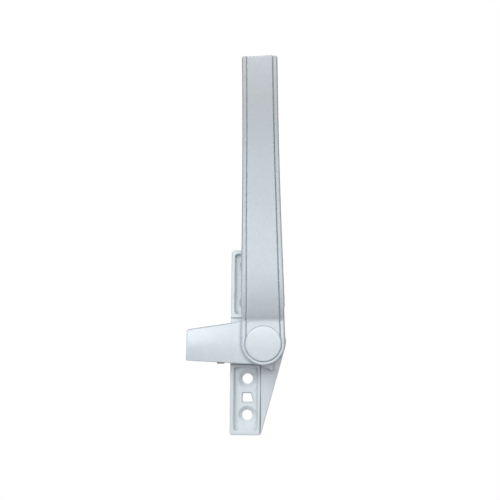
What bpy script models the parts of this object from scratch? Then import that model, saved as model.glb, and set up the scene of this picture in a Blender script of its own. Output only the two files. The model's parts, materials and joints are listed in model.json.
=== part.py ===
"""Casement cam handle: a lever that turns a locking tongue on a screwed-on base.

Frame: the base's back face lies on y = 0 and looks towards +Y, where the window sash is. +Z runs up
along the base and the lever, and +X runs from the frame side towards the glass. The origin is the
middle of the four screw holes on the back face. Lengths below are millimetres. A height is a distance
in front of the back face, so a point at height h has y = -h.
"""

import math

import bmesh
import bpy
from mathutils import Vector

MM = 0.001

# Base casting.
BASE_TOP = 43.0
BASE_FOOT = -44.3
BASE_LEFT = -8.25
BASE_END_RIGHT = 6.4
BASE_APEX = 18.1
BASE_TOP_CORNER = 1.8
BASE_FOOT_CORNER = 1.1
BASE_APEX_CORNER = 1.5
RIM_HEIGHT = 5.0
CHANNEL_HEIGHT = 4.0
WING_LOW = 4.0
WING_TOP = 6.8
WING_FLAT = 13.5
RIM_RIGHT = 6.05
CHANNEL_HALF = 11.1
POCKET_FLOOR = 2.5
POCKET_X = (-6.65, 5.2)
TOP_POCKET_Z = (12.6, 41.3)
FOOT_POCKET_Z = (-42.5, -12.1)
POCKET_CORNER = 0.8
POCKET_DRAFT = 0.7
SCREW_Z = (17.9, 35.1)
SCREW_HOLE_R = 2.45
COUNTERSINK_R = 4.4
KEY_HOLE_X = (-2.25, 2.75)
KEY_HOLE_Z = (24.7, 28.9)
KEY_SLANT = 1.05
CORE_Z = (15.0, 31.5)
CORE_DEPTH = 2.2
CORE_WALL = 1.7
CORE_CORNER = 0.5

# Pivot stack, as heights.
PIVOT_X = 7.0
CLOSED_LEAN_DEG = 1.5
TURRET_R = 9.4
TURRET_TOP = 7.0
BACK_BORE_R = 6.2
BACK_BORE_TOP = 3.1
BUSH_BORE_R = 5.2
BUSH_WALL = 1.0
JOURNAL_R = 3.95
SPINDLE_HEAD_R = 5.6
SPINDLE_HEAD = (0.3, 1.5)
WAVE_MID = 1.97
WAVE_SWING = 0.16
WAVE_THICKNESS = 0.25
BACK_WASHER = (2.45, 2.95)
THRUST_WASHER = (7.15, 7.75)
THRUST_WASHER_R = 6.9
TONGUE_BACK = 7.9
TONGUE_FRONT = 14.7
HUB_BACK = 14.9
HUB_FLOOR = 17.0
CAP_SEAT = 19.0
RIM_FRONT = 20.8
FACE_FRONT = 21.6
SQUARE = 5.6
SQUARE_END = 16.8
THREAD_R = 2.0
FIT = 0.15
GAP = 0.3

# Cutters reach this far past what they cut, and overlap each other by a little.
FAR = 60.0
OVERLAP = 0.02

# Stop: a lug on the base turret in a curved slot in the tongue's back.
STOP_R = (7.4, 8.8)
STOP_TOP = 8.9
STOP_HALF_DEG = 12.0
STOP_SLOT_TOP = 9.3
STOP_GAP = 0.25
STOP_PLAY_DEG = 1.0
STOP_DEG = -90.0
TRAVEL_DEG = 90.0

# Tongue, its outlines as (x, z, corner radius) round the pivot.
TONGUE_DISC_R = 10.0
TONGUE_ARM = ((-35.8, -7.8, 0.7), (-0.6, -10.2, 0), (0.6, 0, 0), (-2.5, 10.8, 2.5), (-34.4, 6.6, 0.7))
HEEL = ((-6.0, -9.0, 0), (-1.2, -10.6, 0), (4.7, -13.9, 0.3), (5.1, -8.0, 0), (0.0, -6.0, 0))
HEEL_FRONT = 10.8
PAD_BACK = 6.6
PAD_SEAT = 9.1
PAD_X = (-33.0, -16.5)
PAD_Z = (-5.2, 4.6)
PAD_TAB_X = (-21.8, -18.2)
PAD_TAB_Z = -9.9
PAD_FIT = 0.15

# Lever.
HUB_R = 10.2
CAP_R = 8.25
CAP_SEAM = 0.3
LEVER_TIP = 129.1
TIP_CORNER = 0.45
CRANK_START = 11.0
CRANK_END = 38.0
SHOULDER = 16.0
SHOULDER_STEP = 0.25
GRIP_TAPER = 2.35
SHOULDER_LENGTH = 1.6
CRANK_SLOPE = 0.95
CRANK_EASE = 2.55
LEAN_SLOPES = (0.08, 0.4, 0.2)
LEAN_PEAK = 108.0
GRIP_THICKNESS = 6.2
CHANNEL_DEPTH = 1.6
PLATE_LIFT = FACE_FRONT - RIM_FRONT
PLATE_MARGIN = 2.4
PLATE_SPREAD = (0.5, 0.35)
PLATE_SPREAD_Z = (12.0, 62.0)
PLATE_ENDS = (LEVER_TIP - 0.1, LEVER_TIP + 0.5)
HOLLOWS_Z = ((30.0, 52.0), (53.6, 76.0), (77.6, 100.0), (101.6, 124.0))
HOLLOW_WALL = 2.3
HOLLOW_DEPTH = 2.2
HOLLOW_CORNER = 1.4

# Clamp screw and its washers.
CLAMP_WASHER_R = 6.4
CLAMP_WASHER = (HUB_FLOOR + 0.1, HUB_FLOOR + 1.0)
LOCK_WASHER_R = (2.25, 4.3)
LOCK_WASHER_BACK = 18.12
LOCK_WASHER_THICKNESS = 0.6
LOCK_WASHER_RISE = 0.14
LOCK_SLIT_DEG = 12
SCREW_BACK = 9.0
SCREW_HEAD = (19.0, 20.35)
SCREW_HEAD_R = 4.4
RECESS = (2.1, 0.45, 0.9)


def smoothstep(t):
    return t * t * (3 - 2 * t)


def arc_points(cx, cz, radius, start_deg, end_deg, count):
    """Points on an arc, both ends included, counted anticlockwise when end_deg is the larger."""
    turns = [math.radians(start_deg + (end_deg - start_deg) * i / (count - 1)) for i in range(count)]
    return [(cx + radius * math.cos(a), cz + radius * math.sin(a)) for a in turns]


def rounded(corners, count=5):
    """An outline from (x, z, radius) corners, each corner of some radius turned into an arc."""
    outline = []
    for i, (x, z, radius) in enumerate(corners):
        here = Vector((x, z))
        if not radius:
            outline.append((x, z))
            continue
        before = (Vector(corners[i - 1][:2]) - here).normalized()
        after = (Vector(corners[(i + 1) % len(corners)][:2]) - here).normalized()
        half = before.angle(after) / 2
        middle = here + (before + after).normalized() * (radius / math.sin(half))
        first = here + before * (radius / math.tan(half)) - middle
        last = here + after * (radius / math.tan(half)) - middle
        sweep = first.angle_signed(last)
        for k in range(count):
            turn = -sweep * k / (count - 1)
            c, s = math.cos(turn), math.sin(turn)
            outline.append((middle.x + first.x * c - first.y * s, middle.y + first.x * s + first.y * c))
    return outline


def inset(outline, distance):
    """The outline moved inwards by distance, its corners mitred. Outlines run anticlockwise."""
    moved = []
    for i, point in enumerate(outline):
        here = Vector(point)
        along = (here - Vector(outline[i - 1])).normalized()
        onward = (Vector(outline[(i + 1) % len(outline)]) - here).normalized()
        normal = (Vector((-along.y, along.x)) + Vector((-onward.y, onward.x))).normalized()
        share = max(0.3, normal.dot(Vector((-along.y, along.x))))
        moved.append(tuple(here + normal * (distance / share)))
    return moved


def new_object(name, bm):
    bmesh.ops.recalc_face_normals(bm, faces=bm.faces)
    mesh = bpy.data.meshes.new(name)
    bm.to_mesh(mesh)
    bm.free()
    obj = bpy.data.objects.new(name, mesh)
    bpy.context.scene.collection.objects.link(obj)
    return obj


def stacked(name, loops):
    """A solid from loops of (x, height, z) points, bridged in order, its two ends filled."""
    bm = bmesh.new()
    rings = [[bm.verts.new((x * MM, -h * MM, z * MM)) for x, h, z in loop] for loop in loops]
    for low, high in zip(rings, rings[1:]):
        for i in range(len(low)):
            bm.faces.new((low[i - 1], low[i], high[i], high[i - 1]))
    bm.faces.new(rings[0])
    bm.faces.new(rings[-1])
    return new_object(name, bm)


def prism(name, outline, low, high, chamfer=0.0, foot=0.0):
    """The outline as a solid between two heights, with a chamfer in front and another (foot) behind."""
    loops = [(outline, low), (outline, high)]
    if foot:
        loops = [(inset(outline, foot), low), (outline, low + foot), (outline, high)]
    if chamfer:
        loops = loops[:-1] + [(outline, high - chamfer), (inset(outline, chamfer), high)]
    return stacked(name, [[(x, h, z) for x, z in loop] for loop, h in loops])


def side_prism(name, outline, left, right):
    """An outline of (z, height) points as a solid between two x positions."""
    return stacked(name, [[(x, h, z) for z, h in outline] for x in (left, right)])


def turned(name, profile, segments=48):
    """A closed profile of (radius, height) points turned about the line x = 0, z = 0."""
    bm = bmesh.new()
    verts = [bm.verts.new((r * MM, -h * MM, 0)) for r, h in profile]
    edges = [bm.edges.new((verts[i - 1], verts[i])) for i in range(len(verts))]
    bmesh.ops.spin(
        bm, geom=verts + edges, cent=(0, 0, 0), axis=(0, 1, 0),
        angle=math.tau, steps=segments, use_merge=True,
    )
    bmesh.ops.remove_doubles(bm, verts=bm.verts, dist=0.001 * MM)
    bmesh.ops.dissolve_degenerate(bm, edges=bm.edges, dist=0.001 * MM)
    bmesh.ops.delete(bm, geom=[edge for edge in bm.edges if edge.is_wire], context="EDGES")
    return new_object(name, bm)


def cylinder(name, radius, low, high, x=0.0, z=0.0, segments=48):
    return prism(name, arc_points(x, z, radius, 0, 360 - 360 / segments, segments), low, high)


def sector(name, radii, heights, ends_deg, count=14):
    """Part of a ring about the pivot line, between two angles."""
    start, end = ends_deg
    outer = arc_points(0, 0, radii[1], start, end, count)
    inner = arc_points(0, 0, radii[0], end, start, count)
    return prism(name, outer + inner, *heights)


def bake(obj):
    """Turns the object's modifiers into its mesh."""
    graph = bpy.context.evaluated_depsgraph_get()
    mesh = bpy.data.meshes.new_from_object(obj.evaluated_get(graph))
    obj.modifiers.clear()
    obj.data = mesh


def combine(target, tools, operation):
    """Joins, cuts or intersects target with each tool, which is then removed."""
    for tool in tools:
        modifier = target.modifiers.new(operation.lower(), "BOOLEAN")
        modifier.operation = operation
        modifier.solver = "EXACT"
        modifier.object = tool
        bake(target)
        bpy.data.objects.remove(tool)
    return target


def cut(target, *tools):
    return combine(target, tools, "DIFFERENCE")


def join(target, *tools):
    return combine(target, tools, "UNION")


def shifted(obj, x):
    """Moves the object's mesh along x, so that what was built about x = 0 sits at the pivot."""
    for vertex in obj.data.vertices:
        vertex.co.x += x * MM
    return obj


# Base.


def base_outline():
    return rounded([
        (BASE_LEFT, BASE_FOOT, BASE_FOOT_CORNER),
        (BASE_END_RIGHT, BASE_FOOT, BASE_FOOT_CORNER),
        (BASE_APEX, 0, BASE_APEX_CORNER),
        (BASE_END_RIGHT, BASE_TOP, BASE_TOP_CORNER),
        (BASE_LEFT, BASE_TOP, BASE_TOP_CORNER),
    ])


def upright(outline, side):
    """The outline mirrored to the lower half of the base for side -1, kept anticlockwise."""
    return outline if side > 0 else [(x, -z) for x, z in reversed(outline)]


def screw_pocket(side):
    """Cutter for the tray that holds one end's screw heads, its walls drafted."""
    (x0, x1), r = POCKET_X, POCKET_CORNER
    z0, z1 = TOP_POCKET_Z if side > 0 else FOOT_POCKET_Z
    mouth = rounded([(x0, z0, r), (x1, z0, r), (x1, z1, r), (x0, z1, r)])
    floor = inset(mouth, POCKET_DRAFT)
    loops = [(floor, POCKET_FLOOR), (mouth, RIM_HEIGHT), (mouth, RIM_HEIGHT + 1)]
    return stacked("pocket_cutter", [[(x, h, z) for x, z in loop] for loop, h in loops])


def countersunk_hole(z):
    slope = COUNTERSINK_R - SCREW_HOLE_R
    profile = [
        (0, -1), (SCREW_HOLE_R, -1), (SCREW_HOLE_R, POCKET_FLOOR - slope),
        (COUNTERSINK_R + GAP, POCKET_FLOOR + GAP), (0, POCKET_FLOOR + GAP),
    ]
    hole = turned("screw_cutter", profile, 32)
    for vertex in hole.data.vertices:
        vertex.co.z += z * MM
    return hole


def key_hole(side):
    """Square hole with one slanting side, between two screw holes."""
    (x0, x1), (z0, z1) = KEY_HOLE_X, KEY_HOLE_Z
    outline = [(x0, z0), (x1 - KEY_SLANT, z0), (x1, z1), (x0, z1)]
    return prism("key_cutter", upright(outline, side), -1, RIM_HEIGHT)


def wing_core(side):
    """Cutter for the hollow behind the base's sloping side."""
    slope = (BASE_APEX - BASE_END_RIGHT) / BASE_TOP
    left, right, r = RIM_RIGHT + CORE_CORNER, BASE_APEX - CORE_WALL, CORE_CORNER
    near, far = CORE_Z
    corners = [
        (left, near, r), (right - slope * near, near, r), (right - slope * far, far, r), (left, far, r),
    ]
    return prism("core_cutter", upright(rounded(corners), side), -1, CORE_DEPTH)


def wing_height(z):
    """Height of the base's sloping side: level beside the pivot, sinking in a hollow curve to each end."""
    end = BASE_TOP if z > 0 else -BASE_FOOT
    share = (end - min(end, max(abs(z), WING_FLAT))) / (end - WING_FLAT)
    return WING_LOW + (WING_TOP - WING_LOW) * share**3


def wing_relief():
    """Cutter for what lies in front of the sloping side, down to its hollow face."""
    shares = [i / 8 for i in range(9)]
    foot = [BASE_FOOT - 1 - (WING_FLAT + BASE_FOOT - 1) * share for share in shares]
    top = [WING_FLAT + (BASE_TOP + 1 - WING_FLAT) * share for share in shares]
    outline = [(z, wing_height(z)) for z in foot + top] + [(top[-1], FAR), (foot[0], FAR)]
    return side_prism("wing_relief", outline, RIM_RIGHT - OVERLAP, FAR)


def block(name, x, z, low):
    """Cutter with straight sides that reaches forwards from a height."""
    (x0, x1), (z0, z1) = x, z
    return prism(name, [(x0, z0), (x1, z0), (x1, z1), (x0, z1)], low, FAR)


def make_base():
    base = prism("base_body", base_outline(), 0, WING_TOP + 2)
    cut(base, block("rim_relief", (-FAR, RIM_RIGHT), (-FAR, FAR), RIM_HEIGHT), wing_relief())
    cut(base, block("channel_relief", (-FAR, RIM_RIGHT), (-CHANNEL_HALF, CHANNEL_HALF), CHANNEL_HEIGHT))
    turret = cylinder("turret", TURRET_R, 1, TURRET_TOP, PIVOT_X)
    lug_ends = (STOP_DEG - STOP_HALF_DEG, STOP_DEG + STOP_HALF_DEG)
    lug = sector("stop_lug", STOP_R, (TURRET_TOP - 1, STOP_TOP), lug_ends, 6)
    join(base, turret, shifted(lug, PIVOT_X))
    for side in (-1, 1):
        cut(base, screw_pocket(side), key_hole(side), wing_core(side))
        cut(base, *[countersunk_hole(side * z) for z in SCREW_Z])
    bore = cylinder("bore_cutter", BUSH_BORE_R, -1, TURRET_TOP + 1, PIVOT_X)
    counterbore = cylinder("counterbore_cutter", BACK_BORE_R, -1, BACK_BORE_TOP, PIVOT_X)
    return cut(base, bore, counterbore)


def ring(name, radii, heights, chamfer=0.1, segments=48):
    """A washer or bush with its corners taken off."""
    (r0, r1), (h0, h1), c = radii, heights, chamfer
    behind = [(r0, h0 + c), (r0 + c, h0), (r1 - c, h0), (r1, h0 + c)]
    ahead = [(r1, h1 - c), (r1 - c, h1), (r0 + c, h1), (r0, h1 - c)]
    profile = behind + ahead
    return turned(name, profile, segments)


def make_wave_washer():
    """A spring washer with three waves."""
    count, r0, r1 = 48, JOURNAL_R + 0.35, SPINDLE_HEAD_R - 0.1
    half = WAVE_THICKNESS / 2
    bm = bmesh.new()
    rings = []
    for i in range(count):
        angle = math.tau * i / count
        mid = WAVE_MID + WAVE_SWING * math.sin(3 * angle)
        c, s = math.cos(angle), math.sin(angle)
        corners = [(r0, mid - half), (r1, mid - half), (r1, mid + half), (r0, mid + half)]
        rings.append([bm.verts.new((r * c * MM, -h * MM, r * s * MM)) for r, h in corners])
    for i in range(count):
        for k in range(4):
            bm.faces.new((rings[i - 1][k - 1], rings[i - 1][k], rings[i][k], rings[i][k - 1]))
    return new_object("wave_washer", bm)


def make_base_side_rings():
    """The bush and washers that stay with the base."""
    bush_r = BUSH_BORE_R - 0.1
    bush = ring("pivot_bush", (bush_r - BUSH_WALL, bush_r), (BACK_BORE_TOP + 0.1, TURRET_TOP - 0.1))
    back = ring("back_washer", (JOURNAL_R + FIT, SPINDLE_HEAD_R), BACK_WASHER)
    thrust = ring("thrust_washer", (JOURNAL_R + 0.35, THRUST_WASHER_R), THRUST_WASHER)
    return [shifted(obj, PIVOT_X) for obj in (bush, back, thrust, make_wave_washer())]


# Turning pieces, built with the pivot line at x = 0, z = 0 and the lever upright.


def square_outline(width, corner=0.0):
    half = width / 2
    signs = ((-1, -1), (1, -1), (1, 1), (-1, 1))
    return rounded([(half * sx, half * sz, corner) for sx, sz in signs], 3)


def make_spindle():
    """Headed pivot pin: a round journal, then a square that carries the tongue and the lever."""
    r, head_r, (h0, h1) = JOURNAL_R, SPINDLE_HEAD_R, SPINDLE_HEAD
    shoulder = TONGUE_BACK - 0.1
    body = turned("spindle", [
        (0, h0), (head_r - 0.3, h0), (head_r, h0 + 0.3), (head_r, h1), (r, h1), (r, SQUARE_END - 0.4),
        (r - 0.4, SQUARE_END), (0, SQUARE_END),
    ])
    wide, flat = 20, SQUARE / 2
    beyond = [(-wide, flat), (wide, flat), (wide, wide), (-wide, wide)]
    for turn in range(4):
        slab = prism("flat_cutter", beyond, shoulder, wide)
        slab.rotation_euler.y = math.pi / 2 * turn
        bpy.context.view_layer.update()
        cut(body, slab)
    return cut(body, cylinder("tap_cutter", THREAD_R + FIT, shoulder, SQUARE_END + 1, segments=32))


def pad_outline(grow=0.0):
    x0, x1 = PAD_X[0] - grow, PAD_X[1] + grow
    z0, z1 = PAD_Z[0] - grow, PAD_Z[1] + grow
    return rounded([(x0, z0, 1.0), (x1, z0, 1.0), (x1, z1, 1.0), (x0, z1, 1.0)])


def pad_tab_outline(grow=0.0):
    (x0, x1), edge, inner = PAD_TAB_X, PAD_TAB_Z - 10 * grow, PAD_Z[0] + 1
    return [(x0 - grow, edge), (x1 + grow, edge), (x1 + grow, inner), (x0 - grow, inner)]


def make_tongue():
    """Locking tongue: a disc on the spindle's square, with the arm, its heel and a seat for the pad."""
    tongue = prism("tongue", rounded(TONGUE_ARM), TONGUE_BACK, TONGUE_FRONT, chamfer=0.5, foot=0.3)
    disc = cylinder("disc", TONGUE_DISC_R, TONGUE_BACK + OVERLAP, TONGUE_FRONT - OVERLAP, segments=64)
    heel = prism("heel", rounded(HEEL), TONGUE_BACK + 2 * OVERLAP, HEEL_FRONT, chamfer=0.15)
    join(tongue, disc, heel)
    lug_deg = STOP_DEG - CLOSED_LEAN_DEG
    ends = (lug_deg - STOP_HALF_DEG - STOP_PLAY_DEG, lug_deg + TRAVEL_DEG + STOP_HALF_DEG + STOP_PLAY_DEG)
    slot_r = (STOP_R[0] - STOP_GAP, STOP_R[1] + STOP_GAP)
    slot = sector("stop_slot", slot_r, (TONGUE_BACK - 1, STOP_SLOT_TOP), ends)
    square = prism("square_cutter", square_outline(SQUARE + 2 * FIT), 0, FAR)
    pad_seat = prism("pad_seat", pad_outline(PAD_FIT), 0, PAD_SEAT)
    tab_seat = prism("tab_seat", pad_tab_outline(PAD_FIT), 0, PAD_SEAT)
    return cut(tongue, slot, square, pad_seat, tab_seat)


def make_tongue_pad():
    """Nylon shoe let into the tongue's back, with a tab that wraps the lower edge."""
    pad = prism("tongue_pad", pad_outline(), PAD_BACK, PAD_SEAT - FIT, foot=0.5)
    tab = prism("tab", pad_tab_outline(), PAD_BACK + 0.8, PAD_SEAT - FIT - OVERLAP)
    return join(pad, tab)


def rim_height(z):
    """Height of the lever's rim: flat at the hub, cranked forwards, then leaning outwards to the tip.

    The crank's slope eases evenly to the lean's first one, which grows up to LEAN_PEAK and then eases.
    """
    first, peak, last = LEAN_SLOPES
    crank = CRANK_END - CRANK_START
    up = max(0.0, min(z - CRANK_START, crank))
    eased = (1 - (1 - up / crank) ** (CRANK_EASE + 1)) * crank / (CRANK_EASE + 1)
    height = RIM_FRONT + first * up + (CRANK_SLOPE - first) * eased
    share = max(0.0, min(1.0, (z - CRANK_END) / (LEAN_PEAK - CRANK_END)))
    height += (LEAN_PEAK - CRANK_END) * (first * share + (peak - first) * (share**3 - share**4 / 2))
    past = max(0.0, z - LEAN_PEAK)
    return height + peak * past + (last - peak) * past**2 / (2 * (LEVER_TIP - LEAN_PEAK))


def back_height(z):
    """Height of the lever's back, a constant thickness behind the rim once clear of the hub."""
    slope = (rim_height(z + 0.01) - rim_height(z - 0.01)) / 0.02
    if z <= CRANK_START + 0.1:
        return HUB_BACK
    return max(HUB_BACK, rim_height(z) - GRIP_THICKNESS * math.hypot(1, slope))


def stations(start, end):
    """Positions along the lever: close together on the crank, wider on the grip."""
    crank = [CRANK_START + (CRANK_END - CRANK_START) * i / 12 for i in range(13)]
    grip = [CRANK_END + (LEVER_TIP + 6 - CRANK_END) * i / 14 for i in range(1, 15)]
    inner = [z for z in crank + grip if start + 0.4 < z < end - 0.4]
    return [start] + inner + [end]


def taper(z):
    """Half width of the lever without its shoulder, easing off towards the tip."""
    share = max(0.0, min(1.0, (z - SHOULDER) / (LEVER_TIP - SHOULDER)))
    return HUB_R - 0.02 * max(0.0, min(z, SHOULDER)) - GRIP_TAPER * (1 - (1 - share) ** 1.6)


def half_width(z):
    """Half the lever's width: a neck, a small shoulder, then the taper of the grip."""
    return taper(z) + SHOULDER_STEP * smoothstep(max(0.0, min(1.0, (z - SHOULDER) / SHOULDER_LENGTH)))


def lever_outline():
    grip = SHOULDER + SHOULDER_LENGTH
    zs = [0.0, 6.0, SHOULDER, SHOULDER + SHOULDER_LENGTH / 2]
    zs += [grip + (LEVER_TIP - grip) * i / 12 for i in range(13)]
    right = [(half_width(z), z) for z in zs]
    tip = half_width(LEVER_TIP)
    top = arc_points(tip - TIP_CORNER, LEVER_TIP - TIP_CORNER, TIP_CORNER, 0, 90, 4)
    hub = arc_points(0, 0, HUB_R, 180, 360, 41)[:-1]
    right_side = right[:-1] + top
    left_side = [(-x, z) for x, z in reversed(right_side)]
    return hub + right_side + left_side[:-1]


def plate_edges(z):
    """Left and right edge of the front plate, which widens a little above the crank."""
    low, high = PLATE_SPREAD_Z
    ease = smoothstep(max(0.0, min(1.0, (z - low) / (high - low))))
    half = taper(z) - PLATE_MARGIN
    return -half - PLATE_SPREAD[0] * ease, half + PLATE_SPREAD[1] * ease


def plate_outline(grow, seam_r, top_left, top_right):
    """Front plate's outline, grown sideways by grow, with a hollow of radius seam_r for the hub cap."""
    left0, right0 = plate_edges(4.0)
    start_right = math.degrees(math.acos((right0 + grow) / seam_r))
    start_left = 180 - math.degrees(math.acos(-(left0 - grow) / seam_r))
    zs = [6.0, 10.9, 16.0, 24.0, 32.0] + [32 + (top_left - 32) * i / 8 for i in range(1, 8)]
    right = [(plate_edges(z)[1] + grow, z) for z in zs] + [(plate_edges(top_right)[1] + grow, top_right)]
    left = [(plate_edges(z)[0] - grow, z) for z in zs] + [(plate_edges(top_left)[0] - grow, top_left)]
    hollow = arc_points(0, 0, seam_r, start_left, start_right, 21)
    return hollow + right + left[::-1]


def side_band(name, zs, low, high):
    """Solid between two heights that vary along the lever."""
    outline = [(z, low(z)) for z in zs] + [(z, high(z)) for z in reversed(zs)]
    return side_prism(name, outline, -FAR, FAR)


def back_hollow(low, high):
    """Cutter for one of the hollows in the grip's back, which thin ribs part from each other."""
    near, far, r = half_width(low) - HOLLOW_WALL, half_width(high) - HOLLOW_WALL, HOLLOW_CORNER
    corners = [(-near, low, r), (near, low, r), (far, high, r), (-far, high, r)]
    hollow = prism("hollow", rounded(corners), 0, FAR)
    zs = stations(low - 2, high + 2)
    below = side_band("below", zs, lambda z: back_height(z) - 9, lambda z: back_height(z) + HOLLOW_DEPTH)
    return combine(hollow, [below], "INTERSECT")


def make_lever_body():
    """Lever casting: hub and grip with a channel in front for the plate and hollows behind."""
    zs = stations(-HUB_R - 2, LEVER_TIP + 2)
    lever = prism("lever_body", lever_outline(), 0, FAR)
    combine(lever, [side_band("profile", zs, back_height, rim_height)], "INTERSECT")
    beyond = LEVER_TIP + 3
    channel = prism("channel", plate_outline(GAP, CAP_R + CAP_SEAM - 0.1, beyond, beyond), 0, FAR)
    above = side_band("above", zs, lambda z: rim_height(z) - CHANNEL_DEPTH, lambda z: rim_height(z) + 9)
    combine(channel, [above], "INTERSECT")
    cut(lever, channel)
    cut(lever, cylinder("cap_seat", CAP_R + CAP_SEAM, CAP_SEAT, FAR, segments=64))
    cut(lever, cylinder("screw_well", CAP_R - 1.0, HUB_FLOOR, FAR))
    cut(lever, prism("square_cutter", square_outline(SQUARE + 2 * FIT), 0, FAR))
    return cut(lever, *[back_hollow(low, high) for low, high in HOLLOWS_Z])


def make_grip_plate():
    """Front plate of the lever, from the hub cap to the tip, following the crank."""
    plate = prism("grip_plate", plate_outline(0.0, CAP_R + CAP_SEAM, *PLATE_ENDS), 0, FAR)
    zs = stations(-HUB_R - 2, LEVER_TIP + 4)
    lowest = 0.2 - CHANNEL_DEPTH
    band = side_band("band", zs, lambda z: rim_height(z) + lowest, lambda z: rim_height(z) + PLATE_LIFT)
    return combine(plate, [band], "INTERSECT")


def make_hub_cap():
    """Round snap cap with a slightly domed face and a skirt that grips the hub."""
    skirt_in, skirt_out = CAP_R - 0.95, CAP_R - 0.1
    under, foot = FACE_FRONT - 1.0, CAP_SEAT + 0.2
    return turned("hub_cap", [
        (0, under), (skirt_in, under), (skirt_in, foot), (skirt_out, foot), (CAP_R, under - 0.6),
        (CAP_R, FACE_FRONT - 0.5), (CAP_R - 0.15, FACE_FRONT - 0.15), (CAP_R - 0.5, FACE_FRONT),
        (CAP_R * 0.6, FACE_FRONT + 0.12), (0, FACE_FRONT + 0.2),
    ], 64)


def make_screw():
    """Pan-head screw that clamps lever and tongue on the spindle, with a cross recess."""
    r, head_r, back, (low, top) = THREAD_R, SCREW_HEAD_R, SCREW_BACK, SCREW_HEAD
    screw = turned("lever_screw", [
        (0, back), (r - 0.5, back), (r, back + 0.5), (r, low), (head_r, low), (head_r, low + 0.6),
        (head_r - 0.5, top - 0.25), (head_r - 1.4, top), (0, top),
    ], 40)
    long, thin, depth = RECESS
    for half_x, half_z in ((long, thin), (thin, long)):
        arm = [(-half_x, -half_z), (half_x, -half_z), (half_x, half_z), (-half_x, half_z)]
        cut(screw, prism("recess", arm, top - depth, top + 1))
    return screw


def make_lock_washer():
    """Split spring washer, its ends a little apart in height."""
    count, (r0, r1) = 40, LOCK_WASHER_R
    loops = []
    for i in range(count + 1):
        share = i / count
        angle = math.radians(LOCK_SLIT_DEG / 2 + (360 - LOCK_SLIT_DEG) * share)
        low = LOCK_WASHER_BACK + LOCK_WASHER_RISE * share
        high = low + LOCK_WASHER_THICKNESS
        c, s = math.cos(angle), math.sin(angle)
        loops.append([(r * c, h, r * s) for r, h in ((r0, low), (r1, low), (r1, high), (r0, high))])
    return stacked("lock_washer", loops)


def make_handle():
    washer = ring("clamp_washer", (THREAD_R + 0.2, CLAMP_WASHER_R), CLAMP_WASHER)
    pieces = [make_spindle(), make_tongue(), make_tongue_pad(), make_lever_body(), make_grip_plate()]
    return pieces + [washer, make_lock_washer(), make_screw(), make_hub_cap()]


# Materials.


def material(name, color, roughness, metallic):
    made = bpy.data.materials.new(name)
    made.use_nodes = True
    shader = made.node_tree.nodes["Principled BSDF"]
    shader.inputs["Base Color"].default_value = (*color, 1)
    shader.inputs["Roughness"].default_value = roughness
    shader.inputs["Metallic"].default_value = metallic
    return made


def finish(obj, made):
    obj.data.materials.clear()
    obj.data.materials.append(made)
    obj.data.shade_smooth()
    obj.data.set_sharp_from_angle(angle=math.radians(30))


def main():
    for obj in list(bpy.data.objects):
        bpy.data.objects.remove(obj)
    coat = material("white_powder_coat", (0.72, 0.77, 0.80), 0.42, 0.0)
    cap_white = material("white_moulding", (0.74, 0.79, 0.81), 0.35, 0.0)
    nylon = material("natural_nylon", (0.62, 0.64, 0.62), 0.5, 0.0)
    zinc = material("zinc_plated_steel", (0.62, 0.63, 0.66), 0.35, 1.0)
    spring = material("spring_steel", (0.35, 0.36, 0.38), 0.4, 1.0)
    finishes = {
        "pivot_bush": nylon, "thrust_washer": nylon, "tongue_pad": nylon, "back_washer": zinc,
        "spindle": zinc, "clamp_washer": zinc, "lever_screw": zinc, "wave_washer": spring,
        "lock_washer": spring, "hub_cap": cap_white,
    }
    fixed = [make_base()] + make_base_side_rings()
    turning = make_handle()
    axis = bpy.data.objects.new("handle_axis", None)
    bpy.context.scene.collection.objects.link(axis)
    axis.location.x = PIVOT_X * MM
    axis.rotation_euler.y = -math.radians(CLOSED_LEAN_DEG)
    for obj in turning:
        obj.parent = axis
    for obj in fixed + turning:
        finish(obj, finishes.get(obj.name, coat))


main()
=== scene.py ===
"""Casement cam handle: the visible pieces, materials, lights and camera, built round the CAD frame.

Lengths in the shape functions are millimetres. A height is a distance in front of the base's back face,
so a point at height h has y = -h. The turning pieces are shaped with the pivot line at x = 0, z = 0 and
the lever upright, then placed on the joint's axis and turned by the closed lean.
"""

import json
import math

import bmesh
import bpy
from mathutils import Matrix, Vector


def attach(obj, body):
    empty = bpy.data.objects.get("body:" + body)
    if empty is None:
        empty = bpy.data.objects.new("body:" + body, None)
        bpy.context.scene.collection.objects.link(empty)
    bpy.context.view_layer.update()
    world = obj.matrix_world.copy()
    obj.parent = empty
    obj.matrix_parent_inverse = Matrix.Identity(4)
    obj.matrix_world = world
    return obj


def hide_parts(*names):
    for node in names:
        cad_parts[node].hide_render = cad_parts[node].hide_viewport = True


MM = 0.001

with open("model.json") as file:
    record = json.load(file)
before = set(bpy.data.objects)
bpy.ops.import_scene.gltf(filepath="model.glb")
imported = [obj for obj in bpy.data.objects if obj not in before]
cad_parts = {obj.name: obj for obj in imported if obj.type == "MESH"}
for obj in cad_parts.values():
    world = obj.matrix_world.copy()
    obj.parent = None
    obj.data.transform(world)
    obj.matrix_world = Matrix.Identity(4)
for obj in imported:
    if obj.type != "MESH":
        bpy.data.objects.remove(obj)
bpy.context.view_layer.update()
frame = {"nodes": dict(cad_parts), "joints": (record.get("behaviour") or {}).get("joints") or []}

PIVOT = Vector(frame["joints"][0]["pos_m"])
CLOSED_LEAN = math.radians(1.5)

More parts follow.
